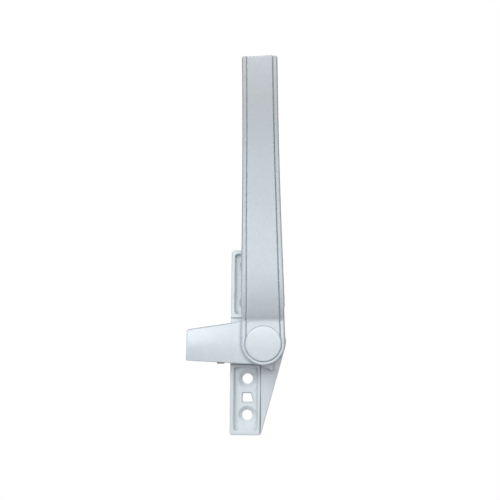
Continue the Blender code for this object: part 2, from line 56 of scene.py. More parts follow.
# Base, in the CAD's sizes.
BASE_TOP = 43.0
BASE_FOOT = -44.3
BASE_LEFT = -8.25
BASE_END_RIGHT = 6.4
BASE_APEX = 18.1
RIM_HEIGHT = 5.0
RIM_RIGHT = 6.05
CHANNEL_HALF = 11.1
CHANNEL_HEIGHT = 4.0
WING_LOW = 4.0
WING_TOP = 6.8
WING_FLAT = 13.5
TOP_POCKET_Z = (12.6, 41.3)
FOOT_POCKET_Z = (-42.5, -12.1)
POCKET_FLOOR = 2.5
SCREW_Z = (17.9, 35.1)
SCREW_HOLE_R = 2.45
COUNTERSINK_R = 4.4
KEY_HOLE_Z = 26.8
KEY_HOLE_HALF = 2.1
TURRET_R = 9.4
TURRET_TOP = 7.0
BACK_BORE_R = 6.2
BACK_BORE_TOP = 3.1
BUSH_BORE_R = 5.2
STOP_R = (7.4, 8.8)
STOP_TOP = 8.9
STOP_DEG = (-102, -78)
CORE_SIDES = (15.0, 30.0)
CORE_WALL = 1.7

# Base, details that only the visual model has.
POCKET_X = (-6.65, 4.95)
POCKET_CORNER = 1.4
POCKET_FILLET = 0.3
POCKET_FLARE = 0.16
POCKET_DRAFT = 0.7
BASE_EDGE_R = 0.5
BASE_LEFT_R = 0.45
TOP_CORNER_R = 1.8
FOOT_CORNER_R = 1.1
RIGHT_CORNER_R = 1.0
BACK_CHAMFER = 0.25
APEX_BLUNTING = 1.2
APEX_CUT = 0.25
SEAM_DEPTH = 0.45
SEAM_FILLET = 0.1
SEAM_ROOM = 1.6
SEAM_FADE = (0.4, 1.6)
# Offsets across the seam between the rim and the wing, each with a drop or a share of the seam's fillet.
RIM_EDGE = ((-0.4, 0.0), (-0.24, 0.03), (-0.12, 0.16))
SEAM_FLOOR = ((-0.08, 1.0), (-0.02, 0.0), (0.1, 0.0), (0.18, 1.0))
WING_EDGE = ((0.22, -1.6), (0.36, -0.3), (0.6, 0.0))
WING_START = 0.6

# Lever, in the CAD's sizes.
HUB_R = 10.2
HUB_BACK = 14.9
HUB_TAPER = 0.02
CAP_R = 8.25
RIM_FRONT = 20.8
CRANK_START = 11.0
CRANK_END = 38.0
CRANK_SLOPE = 0.95
CRANK_EASE = 2.55
LEAN_SLOPES = (0.08, 0.4, 0.2)
LEAN_PEAK = 108.0
LEVER_TIP = 129.1
TIP_CORNER = 0.45
SHOULDER = 16.0
SHOULDER_STEP = 0.25
SHOULDER_LENGTH = 1.6
GRIP_TAPER = 2.35
GRIP_TAPER_POWER = 1.6
GRIP_THICKNESS = 6.2
PLATE_MARGIN = 2.4
PLATE_SPREAD = (0.5, 0.35)
PLATE_SPREAD_Z = (12.0, 62.0)
SQUARE = ((-2.95, -2.95), (2.95, -2.95), (2.95, 2.95), (-2.95, 2.95))

# Lever, details that only the visual model has.
CREASE_SOFTNESS = 0.2
BACK_SOFTNESS = 0.8
GROOVE_WIDTH = 0.28
GROOVE_DEPTH = 0.5
CAP_GAP = 0.22
SEAT_R = CAP_R + CAP_GAP + 0.1
SEAT_CUT_R = CAP_R + CAP_GAP + 0.09
SEAT_FLOOR = 19.0
WELL_R = 7.25
WELL_FLOOR = 17.0
RIM_OUTER_R = 0.7
RIM_INNER_R = 0.38
RIM_BACK_R = 0.55
RIM_DRAFT = 0.4
RIM_DRAFT_ZERO = 0.4
TIP_FRONT_R = 0.2
TIP_BACK_R = 0.6
HOLLOW_BAYS = ((30.0, 52.0), (53.6, 76.0), (77.6, 100.0), (101.6, 124.0))
HOLLOW_DEPTH = 2.2
HOLLOW_SLOPE = 0.7
HOLLOW_WALL = 2.3
BACK_SHARES = [-1 + 2 * i / 44 for i in range(1, 44)]

PLATE_LIFT = 0.8
PLATE_TIP = LEVER_TIP - 0.05
PLATE_TIP_R = 0.12
PLATE_EDGE_R = 0.34
PLATE_CROWN = 0.06
PLATE_UNDERSIDE = 0.12 - GROOVE_DEPTH
PLATE_HOLLOW_R = CAP_R + 0.07
PLATE_STRAIGHT_Z = 12.0
PLATE_CRANKED_Z = 52
PLATE_SKEW = 0.055
PLATE_SKEW_LENGTH = 12

CAP_EDGE_R = 0.4
CAP_DOME = 0.2
CAP_WALL = 0.95

# Tongue and its pad.
TONGUE_TIP = -35.8
TONGUE_TIP_EDGES = (-7.8, 6.45)
TONGUE_FLARE = (2.5, 4.75)
TONGUE_BACK = 7.9
TONGUE_FRONT = 14.7
TONGUE_TIP_R = 0.6
TONGUE_EDGE_R = 0.55
TONGUE_BACK_R = 0.3
TONGUE_CROWN = 0.6
TONGUE_SLANT = 0.045
TONGUE_DISC_R = 10.0
STOP_SLOT_DEG = (-104.5, 12.5)
STOP_SLOT_R = (7.15, 9.05)
STOP_SLOT_TOP = 9.3
PAD_X = (-33.0, -16.5)
PAD_Z = (-5.2, 4.6)
PAD_BACK = 6.6
PAD_SEAT = 9.1
PAD_FIT = 0.15
TAB_X = (-21.8, -18.2)
TAB_Z = -9.9


def smoothstep(t):
    t = max(0.0, min(1.0, t))
    return t * t * (3 - 2 * t)


def spread(start, end, step):
    """Evenly spaced numbers from start to end, both included, about step apart."""
    count = max(1, round(abs(end - start) / step))
    return [start + (end - start) * i / count for i in range(count + 1)]


def round_off(distance, radius):
    """How far an edge of that radius has fallen back at a distance from the end."""
    if distance >= radius:
        return 0.0
    return radius - math.sqrt(max(0.0, radius**2 - (radius - distance) ** 2))


def end_steps(radius, count=6):
    """Distances from an end at which a rounded edge is drawn, closest first."""
    return [radius * (1 - math.cos(math.pi / 2 * i / count)) for i in range(count + 1)]


def arc(cx, cy, radius, start_deg, end_deg, count):
    turns = [math.radians(start_deg + (end_deg - start_deg) * i / (count - 1)) for i in range(count)]
    return [(cx + radius * math.cos(a), cy + radius * math.sin(a)) for a in turns]


# Meshes.


def new_object(name, bm):
    bmesh.ops.recalc_face_normals(bm, faces=bm.faces)
    mesh = bpy.data.meshes.new(name)
    bm.to_mesh(mesh)
    bm.free()
    obj = bpy.data.objects.new(name, mesh)
    bpy.context.scene.collection.objects.link(obj)
    return obj


def vert(bm, x, h, z):
    return bm.verts.new((x * MM, -h * MM, z * MM))


def lofted(name, loops):
    """A solid from closed loops of (x, height, z) points with equal counts, its ends filled."""
    bm = bmesh.new()
    rings = [[vert(bm, *point) for point in loop] for loop in loops]
    for low, high in zip(rings, rings[1:]):
        for i in range(len(low)):
            bm.faces.new((low[i - 1], low[i], high[i], high[i - 1]))
    bm.faces.new(rings[0])
    bm.faces.new(rings[-1])
    return new_object(name, bm)


def turned(name, profile, segments=96, x=0.0, z=0.0):
    """A closed profile of (radius, height) points turned about a line along the Y axis."""
    bm = bmesh.new()
    verts = [vert(bm, r, h, 0) for r, h in profile]
    edges = [bm.edges.new((verts[i - 1], verts[i])) for i in range(len(verts))]
    bmesh.ops.spin(
        bm, geom=verts + edges, cent=(0, 0, 0), axis=(0, 1, 0),
        angle=math.tau, steps=segments, use_merge=True,
    )
    merge_distance = 0.0005 * MM
    bmesh.ops.remove_doubles(bm, verts=bm.verts, dist=merge_distance)
    bmesh.ops.dissolve_degenerate(bm, edges=bm.edges, dist=merge_distance)
    bmesh.ops.delete(bm, geom=[edge for edge in bm.edges if edge.is_wire], context="EDGES")
    for v in bm.verts:
        v.co += Vector((x * MM, 0, z * MM))
    return new_object(name, bm)


def inset(outline, distance):
    """The outline moved inwards by distance, its corners mitred. Outlines run anticlockwise."""
    moved = []
    for i, point in enumerate(outline):
        here = Vector(point)
        along = (here - Vector(outline[i - 1])).normalized()
        onward = (Vector(outline[(i + 1) % len(outline)]) - here).normalized()
        normal = (Vector((-along.y, along.x)) + Vector((-onward.y, onward.x))).normalized()
        share = max(0.3, normal.dot(Vector((-along.y, along.x))))
        moved.append(tuple(here + normal * (distance / share)))
    return moved


def rounded(corners, count=9):
    """An outline from (x, z, radius) corners, each corner of some radius turned into an arc."""
    outline = []
    for i, (x, z, radius) in enumerate(corners):
        here = Vector((x, z))
        if not radius:
            outline.append((x, z))
            continue
        before = (Vector(corners[i - 1][:2]) - here).normalized()
        after = (Vector(corners[(i + 1) % len(corners)][:2]) - here).normalized()
        half = before.angle(after) / 2
        middle = here + (before + after).normalized() * (radius / math.sin(half))
        first = here + before * (radius / math.tan(half)) - middle
        last = here + after * (radius / math.tan(half)) - middle
        sweep = first.angle_signed(last)
        for k in range(count):
            turn = -sweep * k / (count - 1)
            c, s = math.cos(turn), math.sin(turn)
            outline.append((middle.x + first.x * c - first.y * s, middle.y + first.x * s + first.y * c))
    return outline


def box_outline(x_range, z_range, radius, count=9):
    (x0, x1), (z0, z1) = x_range, z_range
    return rounded([(x0, z0, radius), (x1, z0, radius), (x1, z1, radius), (x0, z1, radius)], count)


def ring_part(cx, radii, start_deg, end_deg, count):
    """Outline of a piece of a flat ring round (cx, 0)."""
    inner, outer = radii
    return arc(cx, 0, outer, start_deg, end_deg, count) + arc(cx, 0, inner, end_deg, start_deg, count)


def prism(name, outline, levels):
    """A solid from the outline inset by a distance at each (inset, height) level."""
    loops = [[(x, h, z) for x, z in (inset(outline, d) if d else outline)] for d, h in levels]
    return lofted(name, loops)


def soft_levels(low, high, back_r, front_r, count=5):
    """Levels for a prism with rounded edges behind and in front."""
    behind = [(round_off(s, back_r), low + s) for s in end_steps(back_r, count)]
    ahead = [(round_off(s, front_r), high - s) for s in end_steps(front_r, count)]
    return behind + ahead[::-1]


def cutter_levels(floor, mouth, fillet, flare, draft, count=5):
    """Levels for a pocket cutter: a filleted floor, drafted walls and a flared mouth."""
    bottom = [(draft + round_off(s, fillet), floor + s) for s in end_steps(fillet, count)]
    top = [(-round_off(s, flare), mouth - s) for s in end_steps(flare, count)]
    return bottom + top[::-1] + [(-flare, mouth + 1)]


def boolean(target, tools, operation):
    """Joins or cuts target with each tool, which is then removed."""
    for tool in tools:
        modifier = target.modifiers.new(operation.lower(), "BOOLEAN")
        modifier.operation = operation
        modifier.solver = "EXACT"
        modifier.object = tool
        graph = bpy.context.evaluated_depsgraph_get()
        mesh = bpy.data.meshes.new_from_object(target.evaluated_get(graph))
        target.modifiers.clear()
        target.data = mesh
        bpy.data.objects.remove(tool)
    return target


def cut(target, *tools):
    return boolean(target, tools, "DIFFERENCE")


def join(target, *tools):
    return boolean(target, tools, "UNION")


def finish_surface(obj, made, sharp_deg=38):
    obj.data.materials.clear()
    obj.data.materials.append(made)
    obj.data.shade_smooth()
    obj.data.set_sharp_from_angle(angle=math.radians(sharp_deg))
    weighted = obj.modifiers.new("even_normals", "WEIGHTED_NORMAL")
    weighted.keep_sharp = True
    weighted.weight = 80


def place_on_pivot(obj):
    """Puts a turning piece's mesh on the joint's axis, with the closed lean."""
    move = Matrix.Translation(Vector((PIVOT.x, 0, PIVOT.z)))
    obj.data.transform(move @ Matrix.Rotation(-CLOSED_LEAN, 4, "Y"))
    return obj


# Base.


def base_end(z):
    """Distance from the pivot to the base's end on the side of z."""
    return BASE_TOP if z > 0 else -BASE_FOOT


def wing_height(z):
    end = base_end(z)
    share = (end - min(end, max(abs(z), WING_FLAT))) / (end - WING_FLAT)
    return WING_LOW + (WING_TOP - WING_LOW) * share**3


def base_right(z):
    """The sloping side: straight from each end to a blunt apex beside the pivot."""
    blunt = math.sqrt(z**2 + APEX_BLUNTING**2) - APEX_CUT
    return BASE_APEX - (BASE_APEX - BASE_END_RIGHT) * blunt / base_end(z)


def seam_points(seam, squeeze, rim, wing, fade):
    """The groove between the trays' rim and the wing, which fades out at the base's ends."""
    floor = min(rim, wing) - SEAM_DEPTH * fade
    fillet = SEAM_FILLET * fade
    points = [(seam + dx, rim - drop) for dx, drop in RIM_EDGE]
    points += [(seam + dx * (squeeze if dx > 0 else 1), floor + fillet * share) for dx, share in SEAM_FLOOR]
    return points + [(seam + dx * squeeze, wing + fillet * share) for dx, share in WING_EDGE]


def base_section(z, from_end, corner):
    """One closed section across the base at z, with rounded edges and a groove beside the trays."""
    drop = round_off(from_end, BASE_EDGE_R)
    left = BASE_LEFT + round_off(from_end, corner)
    right = base_right(z) - round_off(from_end, RIGHT_CORNER_R)
    step = smoothstep((CHANNEL_HALF + 0.25 - abs(z)) / 0.5)
    rim = RIM_HEIGHT - drop - (RIM_HEIGHT - CHANNEL_HEIGHT) * step
    wing = wing_height(z) - drop
    foot = BACK_CHAMFER + round_off(from_end, BACK_CHAMFER)
    chamfer = ((BACK_CHAMFER, BACK_CHAMFER), (0.07, 0.18), (0, 0))
    points = [(left + dx, foot - dh) for dx, dh in chamfer]
    points += arc(left + BASE_LEFT_R, rim - BASE_LEFT_R, BASE_LEFT_R, 180, 90, 7)
    seam = min(RIM_RIGHT, right - 0.5)
    squeeze = min(1.0, (right - seam) / SEAM_ROOM)
    gone, full = SEAM_FADE
    points += seam_points(seam, squeeze, rim, wing, smoothstep((from_end - gone) / (full - gone)))
    edge_r = BASE_EDGE_R * squeeze
    near, far = seam + WING_START * squeeze, right - edge_r
    points += [(near + (far - near) * i / 4, wing) for i in range(1, 4)]
    points += arc(far, wing - edge_r, edge_r, 90, 0, 7)
    points += [(right - dx, foot - dh) for dx, dh in chamfer[::-1]]
    return [(x, h, z) for x, h in points]


def base_block():
    """The casting before its trays and holes, with close sections where it changes quickly."""
    near = sorted(set(end_steps(0.55, 5) + end_steps(TOP_CORNER_R, 7)))
    step = [CHANNEL_HALF - 0.4 + 0.1 * i for i in range(9)]
    zs = [0.0]
    for end in (BASE_FOOT, BASE_TOP):
        side = math.copysign(1, end)
        half = spread(0, CHANNEL_HALF - 0.5, 0.8)[1:] + step
        half += spread(CHANNEL_HALF + 0.5, abs(end) - near[-1], 1.2)
        zs += [side * z for z in half] + [side * (abs(end) - s) for s in near[:-1]]
    loops = []
    for z in sorted(zs):
        from_end = base_end(z) - abs(z)
        loops.append(base_section(z, from_end, TOP_CORNER_R if z > 0 else FOOT_CORNER_R))
    return lofted("base_casting", loops)


def upright(outline, side):
    """The outline on the upper side, or mirrored to the lower one."""
    return outline if side > 0 else [(x, -z) for x, z in reversed(outline)]


def tray_cutter(side):
    outline = box_outline(POCKET_X, TOP_POCKET_Z if side > 0 else FOOT_POCKET_Z, POCKET_CORNER)
    levels = cutter_levels(POCKET_FLOOR, RIM_HEIGHT, POCKET_FILLET, POCKET_FLARE, POCKET_DRAFT)
    return prism("tray_cutter", outline, levels)


def screw_cutter(z):
    """Countersunk hole with softened edges, a short cylinder behind the cone."""
    floor, hole, sink = POCKET_FLOOR, SCREW_HOLE_R, COUNTERSINK_R
    cone = floor - (sink - hole)
    lip = 0.22
    profile = [
        (0, -1), (hole + 0.3, -1), (hole + 0.3, 0), (hole, 0.25),
        (hole, cone - 0.1), (hole + 0.06, cone + 0.03), (sink - lip, floor - lip),
        (sink - 0.03, floor - 0.06), (sink + 0.2, floor + 0.02), (sink + 0.3, floor + 0.4),
        (0, floor + 0.4),
    ]
    return turned("screw_cutter", profile, 72, z=z)


def key_cutter(side):
    """Squarish hole with one slanting side and a softened lip."""
    low, high = KEY_HOLE_Z - KEY_HOLE_HALF, KEY_HOLE_Z + KEY_HOLE_HALF
    corners = [(-2.25, low, 0.3), (1.7, low, 0.5), (2.75, high, 0.5), (-2.25, high, 0.3)]
    floor = POCKET_FLOOR
    levels = [
        (0.0, -1.0), (0.0, floor - 1.1), (-0.1, floor - 0.9), (-0.45, floor - 0.12), (-0.6, floor + 0.03),
        (-0.6, 6.0),
    ]
    return prism("key_cutter", upright(rounded(corners, 5), side), levels)


def core_cutter(side):
    """Pocket in the back, behind the sloping wing."""
    slope = (BASE_APEX - BASE_END_RIGHT) / BASE_TOP
    left, outer = RIM_RIGHT + 0.6, BASE_APEX - CORE_WALL
    near, far = CORE_SIDES
    corners = [
        (left, near, 0.6), (outer - slope * near, near, 0.6),
        (outer - slope * far, far, 0.4), (left, far, 0.4),
    ]
    levels = [(-0.2, -1.0), (-0.2, 0.0), (0.0, 0.2), (0.25, 1.9), (0.6, 2.2)]
    return prism("core_cutter", upright(rounded(corners, 5), side), levels)


def make_base():
    """Base casting with its turret, stop lug, trays, holes, back pockets and stepped bore."""
    base = base_block()
    px = PIVOT.x / MM
    turret = turned("turret", [
        (0, 1), (TURRET_R, 1), (TURRET_R, TURRET_TOP - 0.4), (TURRET_R - 0.12, TURRET_TOP - 0.12),
        (TURRET_R - 0.4, TURRET_TOP), (0, TURRET_TOP),
    ], 120, x=px)
    lug_levels = [(0, 6), (0, STOP_TOP - 0.2), (0.2, STOP_TOP)]
    lug = prism("lug", ring_part(px, STOP_R, *STOP_DEG, 9), lug_levels)
    join(base, turret, lug)
    for side in (-1, 1):
        cut(base, tray_cutter(side), key_cutter(side), core_cutter(side))
        cut(base, *[screw_cutter(side * z) for z in SCREW_Z])
    bore = turned("bore", [
        (0, -1), (BACK_BORE_R + 0.2, -1), (BACK_BORE_R + 0.2, 0), (BACK_BORE_R, 0.2),
        (BACK_BORE_R, BACK_BORE_TOP), (BUSH_BORE_R, BACK_BORE_TOP), (BUSH_BORE_R, 9), (0, 9),
    ], 96, x=px)
    return cut(base, bore)


# Lever.


def kink(z):
    """Distance past the crease, eased over a small radius."""
    return (z - CRANK_START + math.sqrt((z - CRANK_START) ** 2 + CREASE_SOFTNESS**2)) / 2


def rim_height(z):
    """Height of the rim: flat at the hub, cranked forwards, then leaning outwards to the tip."""
    first, peak, last = LEAN_SLOPES
    crank = CRANK_END - CRANK_START
    up = min(kink(z), crank)
    eased = (1 - (1 - up / crank) ** (CRANK_EASE + 1)) * crank / (CRANK_EASE + 1)
    height = RIM_FRONT + first * up + (CRANK_SLOPE - first) * eased
    share = max(0.0, min(1.0, (z - CRANK_END) / (LEAN_PEAK - CRANK_END)))
    height += (LEAN_PEAK - CRANK_END) * (first * share + (peak - first) * (share**3 - share**4 / 2))
    past = max(0.0, z - LEAN_PEAK)
    return height + peak * past + (last - peak) * past**2 / (2 * (LEVER_TIP - LEAN_PEAK))


def back_height(z):
    """Height of the lever's back: flat behind the hub, then one thickness behind the rim."""
    slope = (rim_height(z + 0.05) - rim_height(z - 0.05)) / 0.1
    lowest = rim_height(z) - GRIP_THICKNESS * math.hypot(1, slope)
    rise = lowest - HUB_BACK
    soft = math.sqrt(rise * rise + BACK_SOFTNESS**2)
    return HUB_BACK + (rise + soft) / 2 - BACK_SOFTNESS / 2 * math.exp(-abs(rise))


def taper(z):
    """Half width of the lever without its shoulder, easing off towards the tip."""
    share = max(0.0, min(1.0, (z - SHOULDER) / (LEVER_TIP - SHOULDER)))
    hub = HUB_R - HUB_TAPER * max(0.0, min(z, SHOULDER))
    return hub - GRIP_TAPER * (1 - (1 - share) ** GRIP_TAPER_POWER)


def half_width(z):
    return taper(z) + SHOULDER_STEP * smoothstep((z - SHOULDER) / SHOULDER_LENGTH)


def plate_edges(z):
    """Left and right edge of the front plate: both margins widen or narrow above the crank."""
    start, end = PLATE_SPREAD_Z
    ease = smoothstep((z - start) / (end - start))
    on_left, on_right = PLATE_SPREAD
    return PLATE_MARGIN - taper(z) - on_left * ease, taper(z) - PLATE_MARGIN + on_right * ease


def rim_inner(z, side):
    """Inner edge of the rim: round the cap first, then straight beside the plate."""
    left, right = plate_edges(z)
    beside = -left if side < 0 else right
    circle = math.sqrt(SEAT_R**2 - z**2) if z < SEAT_R else 0.0
    return max(beside + GROOVE_WIDTH, circle)


def rim_chain(outer, inner, top, back, shrink):
    """Cross-section of the rim as (x, z, height) points, from its back edge round to the groove's floor."""
    width = (Vector(inner) - Vector(outer)).length
    side_low, side_high = back + RIM_BACK_R, top - RIM_OUTER_R
    points = arc(RIM_BACK_R, side_low, RIM_BACK_R, 270, 180, 5)
    points += [(0, side_low + (side_high - side_low) * i / 4) for i in range(1, 4)]
    points += arc(RIM_OUTER_R, side_high, RIM_OUTER_R, 180, 90, 8)
    points = [
        (a + shrink + RIM_DRAFT * ((h - back) / (top - back) - RIM_DRAFT_ZERO), h) for a, h in points
    ]
    flat = width - RIM_INNER_R
    points += [((RIM_OUTER_R + shrink) * 0.5 + flat * 0.5, top + 0.03)]
    points += arc(flat, top - RIM_INNER_R, RIM_INNER_R, 90, 0, 5)
    points += [(width, top - GROOVE_DEPTH)]
    along = (Vector(inner) - Vector(outer)).normalized()
    return [(*(Vector(outer) + along * a), h) for a, h in points]


def hollow_depth(x, z, wide):
    """Depth of the grip's back hollows, which thin ribs part from each other."""
    for low, high in HOLLOW_BAYS:
        inside = min(z - low, high - z, wide - HOLLOW_WALL - abs(x))
        if inside > 0:
            return HOLLOW_DEPTH * smoothstep(inside / HOLLOW_SLOPE)
    return 0.0


def lever_rows():
    """Positions along the lever from the tip to the pivot, close where the shape changes quickly."""
    tip_steps = end_steps(TIP_CORNER, 8)
    body = spread(LEVER_TIP - tip_steps[-1], 52.0, 0.45) + spread(52.0, 8.0, 0.4)[1:]
    return [LEVER_TIP - s for s in tip_steps[:-1]] + body + spread(8.0, 0.0, 0.5)[1:]


def lever_grid(bm):
    """Vertices of each row: the rim's cross-section on both sides and the back between them."""
    chains = {-1: [], 1: []}
    backs = []
    for z in lever_rows():
        to_tip = LEVER_TIP - z
        shrink = round_off(to_tip, TIP_CORNER)
        top = rim_height(z) - round_off(to_tip, TIP_FRONT_R)
        back = back_height(z) + round_off(to_tip, TIP_BACK_R)
        wide = half_width(z)
        for side in (-1, 1):
            outer, inner = (side * wide, z), (side * rim_inner(z, side), z)
            chain = rim_chain(outer, inner, top, back, shrink)
            chains[side].append([vert(bm, x, h, pz) for x, pz, h in chain])
        start = wide - RIM_BACK_R - shrink
        xs = [start * u for u in BACK_SHARES]
        backs.append([vert(bm, x, back + hollow_depth(x, z, wide), z) for x in xs])
    return chains[-1], chains[1], backs


def hub_chains(bm):
    """The rim's cross-sections round the hub, from the left side to the right one."""
    chains = []
    for deg in spread(180, 360, 2.5)[1:-1]:
        c, s = math.cos(math.radians(deg)), math.sin(math.radians(deg))
        chain = rim_chain((HUB_R * c, HUB_R * s), (SEAT_R * c, SEAT_R * s), RIM_FRONT, HUB_BACK, 0)
        chains.append([vert(bm, x, h, pz) for x, pz, h in chain])
    return chains


def skin_lever(bm, left, right, backs, hub):
    """Faces of the rim, the channel's floor, the back, the hub's two flats and the tip."""
    path = left + hub + right[::-1]
    for a, b in zip(path, path[1:]):
        for k in range(len(a) - 1):
            bm.faces.new((a[k], a[k + 1], b[k + 1], b[k]))
    for i in range(len(backs) - 1):
        bm.faces.new((left[i][-1], right[i][-1], right[i + 1][-1], left[i + 1][-1]))
        here = [left[i][0]] + backs[i] + [right[i][0]]
        following = [left[i + 1][0]] + backs[i + 1] + [right[i + 1][0]]
        for k in range(len(here) - 1):
            bm.faces.new((here[k], following[k], following[k + 1], here[k + 1]))
    bm.faces.new([left[-1][-1]] + [chain[-1] for chain in hub] + [right[-1][-1]])
    bm.faces.new([left[-1][0]] + [chain[0] for chain in hub] + [right[-1][0]] + backs[-1][::-1])
    bm.faces.new(left[0] + right[0][::-1] + backs[0][::-1])


def disc_cutter(name, radius, low, high, segments):
    return turned(name, [(0, low), (radius, low), (radius, high), (0, high)], segments)


def make_lever():
    """Lever casting: U-shaped rim round the hub, the channel between its sides and hollows behind."""
    bm = bmesh.new()
    left, right, backs = lever_grid(bm)
    skin_lever(bm, left, right, backs, hub_chains(bm))
    lever = new_object("lever_casting", bm)
    seat = disc_cutter("seat", SEAT_CUT_R, SEAT_FLOOR, 20.2, 120)
    well = disc_cutter("well", WELL_R, WELL_FLOOR, 19.5, 96)
    return cut(lever, seat, well, prism("square", SQUARE, [(0, 10), (0, 18)]))


def plate_row(place, drop):
    """One loop round the plate; place gives the position along the lever at a point across it."""
    left, right = plate_edges(place(0))
    edge = [(s, -round_off(s, PLATE_EDGE_R)) for s in end_steps(PLATE_EDGE_R, 5)]
    shares = [-1 + 2 * i / 24 for i in range(1, 24)]
    start, flat = left + PLATE_EDGE_R, right - left - 2 * PLATE_EDGE_R
    top = [(left + s, d) for s, d in edge]
    top += [(start + flat * (u + 1) / 2, PLATE_CROWN * (1 - u * u)) for u in shares]
    top += [(right - s, d) for s, d in edge[::-1]]
    chain = [(x, PLATE_LIFT + d - drop) for x, d in top]
    chain += [(x, PLATE_UNDERSIDE) for x in (right - 0.1, left + 0.1)]
    return [(x, rim_height(place(x)) + h, place(x)) for x, h in chain]


def beside_cap(share):
    """Place of a plate row between the hollow round the cap and the first straight row."""
    def place(x):
        start = math.sqrt(max(0.0, PLATE_HOLLOW_R**2 - x * x))
        return start + (PLATE_STRAIGHT_Z - start) * share
    return place


def towards_tip(z):
    """Place of a plate row that turns slightly askew close to the tip."""
    def place(x):
        return z + PLATE_SKEW * x * smoothstep((z - PLATE_TIP + PLATE_SKEW_LENGTH) / PLATE_SKEW_LENGTH)
    return place


def make_plate():
    """Front plate: a raised strip with softened edges, hollowed round the cap and askew at the tip."""
    shares = [0.0, 0.01, 0.025, 0.05, 0.1, 0.2, 0.35, 0.5, 0.65, 0.8, 0.92, 1.0]
    tip_steps = end_steps(PLATE_TIP_R, 5)
    straight = spread(PLATE_STRAIGHT_Z, PLATE_CRANKED_Z, 0.4)[1:]
    straight += spread(PLATE_CRANKED_Z, PLATE_TIP - tip_steps[-1], 1.0)[1:]
    straight += [PLATE_TIP - s for s in tip_steps[-2::-1]]
    loops = [plate_row(beside_cap(share), round_off(share * 4, 0.1)) for share in shares]
    loops += [plate_row(towards_tip(z), round_off(PLATE_TIP - z, PLATE_TIP_R)) for z in straight]
    return lofted("front_plate", loops)


def make_cap():
    """Snap cap with a softened rim and a barely domed face."""
    face = RIM_FRONT + PLATE_LIFT
    flat_r = CAP_R - CAP_EDGE_R
    rim = [(flat_r + r, h) for r, h in arc(0, face - CAP_EDGE_R, CAP_EDGE_R, 0, 90, 8)]
    dome = [(CAP_R * t, face + CAP_DOME * (1 - t * t)) for t in (0.85, 0.7, 0.5, 0.3, 0.1, 0.0)]
    inner = CAP_R - CAP_WALL
    skirt = [(0, 20.6), (inner, 20.6), (inner, 19.2), (CAP_R - 0.1, 19.2), (CAP_R, 20.0)]
    return turned("cap_face", skirt + rim + dome, 160)


# Tongue.


def tongue_section(x):
    """One closed section across the arm, with a softly crowned face and rounded edges."""
    from_tip = x - TONGUE_TIP
    t = from_tip / -TONGUE_TIP
    shrink, drop = round_off(from_tip, TONGUE_TIP_R), round_off(from_tip, 0.5)
    low = TONGUE_TIP_EDGES[0] - TONGUE_FLARE[0] * t + shrink
    high = TONGUE_TIP_EDGES[1] + TONGUE_FLARE[1] * t - shrink
    back, edge_r, back_r = TONGUE_BACK + drop * 0.6, TONGUE_EDGE_R, TONGUE_BACK_R
    front = TONGUE_FRONT - drop
    crown = TONGUE_CROWN * smoothstep(-x / 34)
    points = arc(low + back_r, back + back_r, back_r, 270, 180, 4)
    points += arc(low + edge_r, front - crown - edge_r, edge_r, 180, 90, 7)
    for i in range(1, 12):
        u = -1 + 2 * i / 12
        points.append((low + edge_r + (high - low - 2 * edge_r) * i / 12, front - crown * u * u))
    points += arc(high - edge_r, front - crown - edge_r, edge_r, 90, 0, 7)
    points += arc(high - back_r, back + back_r, back_r, 360, 270, 4)
    return [(x + TONGUE_SLANT * z * (1 + from_tip / TONGUE_TIP), h, z) for z, h in points]


def widened(span):
    """A span of the pad with the room it slides in."""
    return span[0] - PAD_FIT, span[1] + PAD_FIT


def make_tongue():
    """Arm, the disc under the hub, the pointed heel and the cut-outs behind."""
    stations = [TONGUE_TIP + s for s in end_steps(TONGUE_TIP_R, 7)]
    stations += spread(TONGUE_TIP + TONGUE_TIP_R, 0.0, 1.0)[1:]
    tongue = lofted("tongue_casting", [tongue_section(x) for x in stations])
    back, front = TONGUE_BACK + 0.02, TONGUE_FRONT - 0.03
    disc_r = TONGUE_DISC_R
    disc = turned("disc", [
        (0, back), (disc_r - 0.2, back), (disc_r, TONGUE_BACK + 0.2), (disc_r, TONGUE_FRONT - 0.4),
        (disc_r - 0.2, TONGUE_FRONT - 0.15), (disc_r - 0.5, front), (0, front),
    ], 120)
    heel_corners = [(-6.0, -9.0, 0), (-1.2, -10.3, 0), (4.25, -13.35, 0.3), (4.65, -8.0, 0), (0.0, -6.0, 0)]
    heel_levels = [(-0.55, TONGUE_BACK + 0.04), (-0.08, 10.5), (0.0, 10.65), (0.12, 10.72)]
    join(tongue, disc, prism("heel", rounded(heel_corners, 6), heel_levels))
    pad_levels = [(0, 0), (0, PAD_SEAT)]
    left, right = widened(TAB_X)
    return cut(
        tongue,
        prism("slot", ring_part(0, STOP_SLOT_R, *STOP_SLOT_DEG, 30), [(0, 5), (0, STOP_SLOT_TOP)]),
        prism("square", SQUARE, [(0, 0), (0, 20)]),
        prism("seat", box_outline(widened(PAD_X), widened(PAD_Z), 1, 6), pad_levels),
        prism("tab", [(left, -12), (right, -12), (right, -4), (left, -4)], pad_levels),
    )


def make_pad():
    """Sliding shoe in the arm's back, with a tab that shows under its lower edge."""
    front = PAD_SEAT - PAD_FIT
    pad = prism("shoe", box_outline(PAD_X, PAD_Z, 1, 8), soft_levels(PAD_BACK, front, 0.5, 0.1))
    left, right = TAB_X
    tab_corners = [(left, TAB_Z, 0.3), (right, TAB_Z, 0.3), (right, -4.2, 0), (left, -4.2, 0)]
    tab_levels = soft_levels(PAD_BACK + 0.8, front - 0.02, 0.25, 0.25)
    return join(pad, prism("tab", rounded(tab_corners, 5), tab_levels))


# Materials.


def scaled(color, share):
    return tuple(min(1.0, c * share) for c in color)


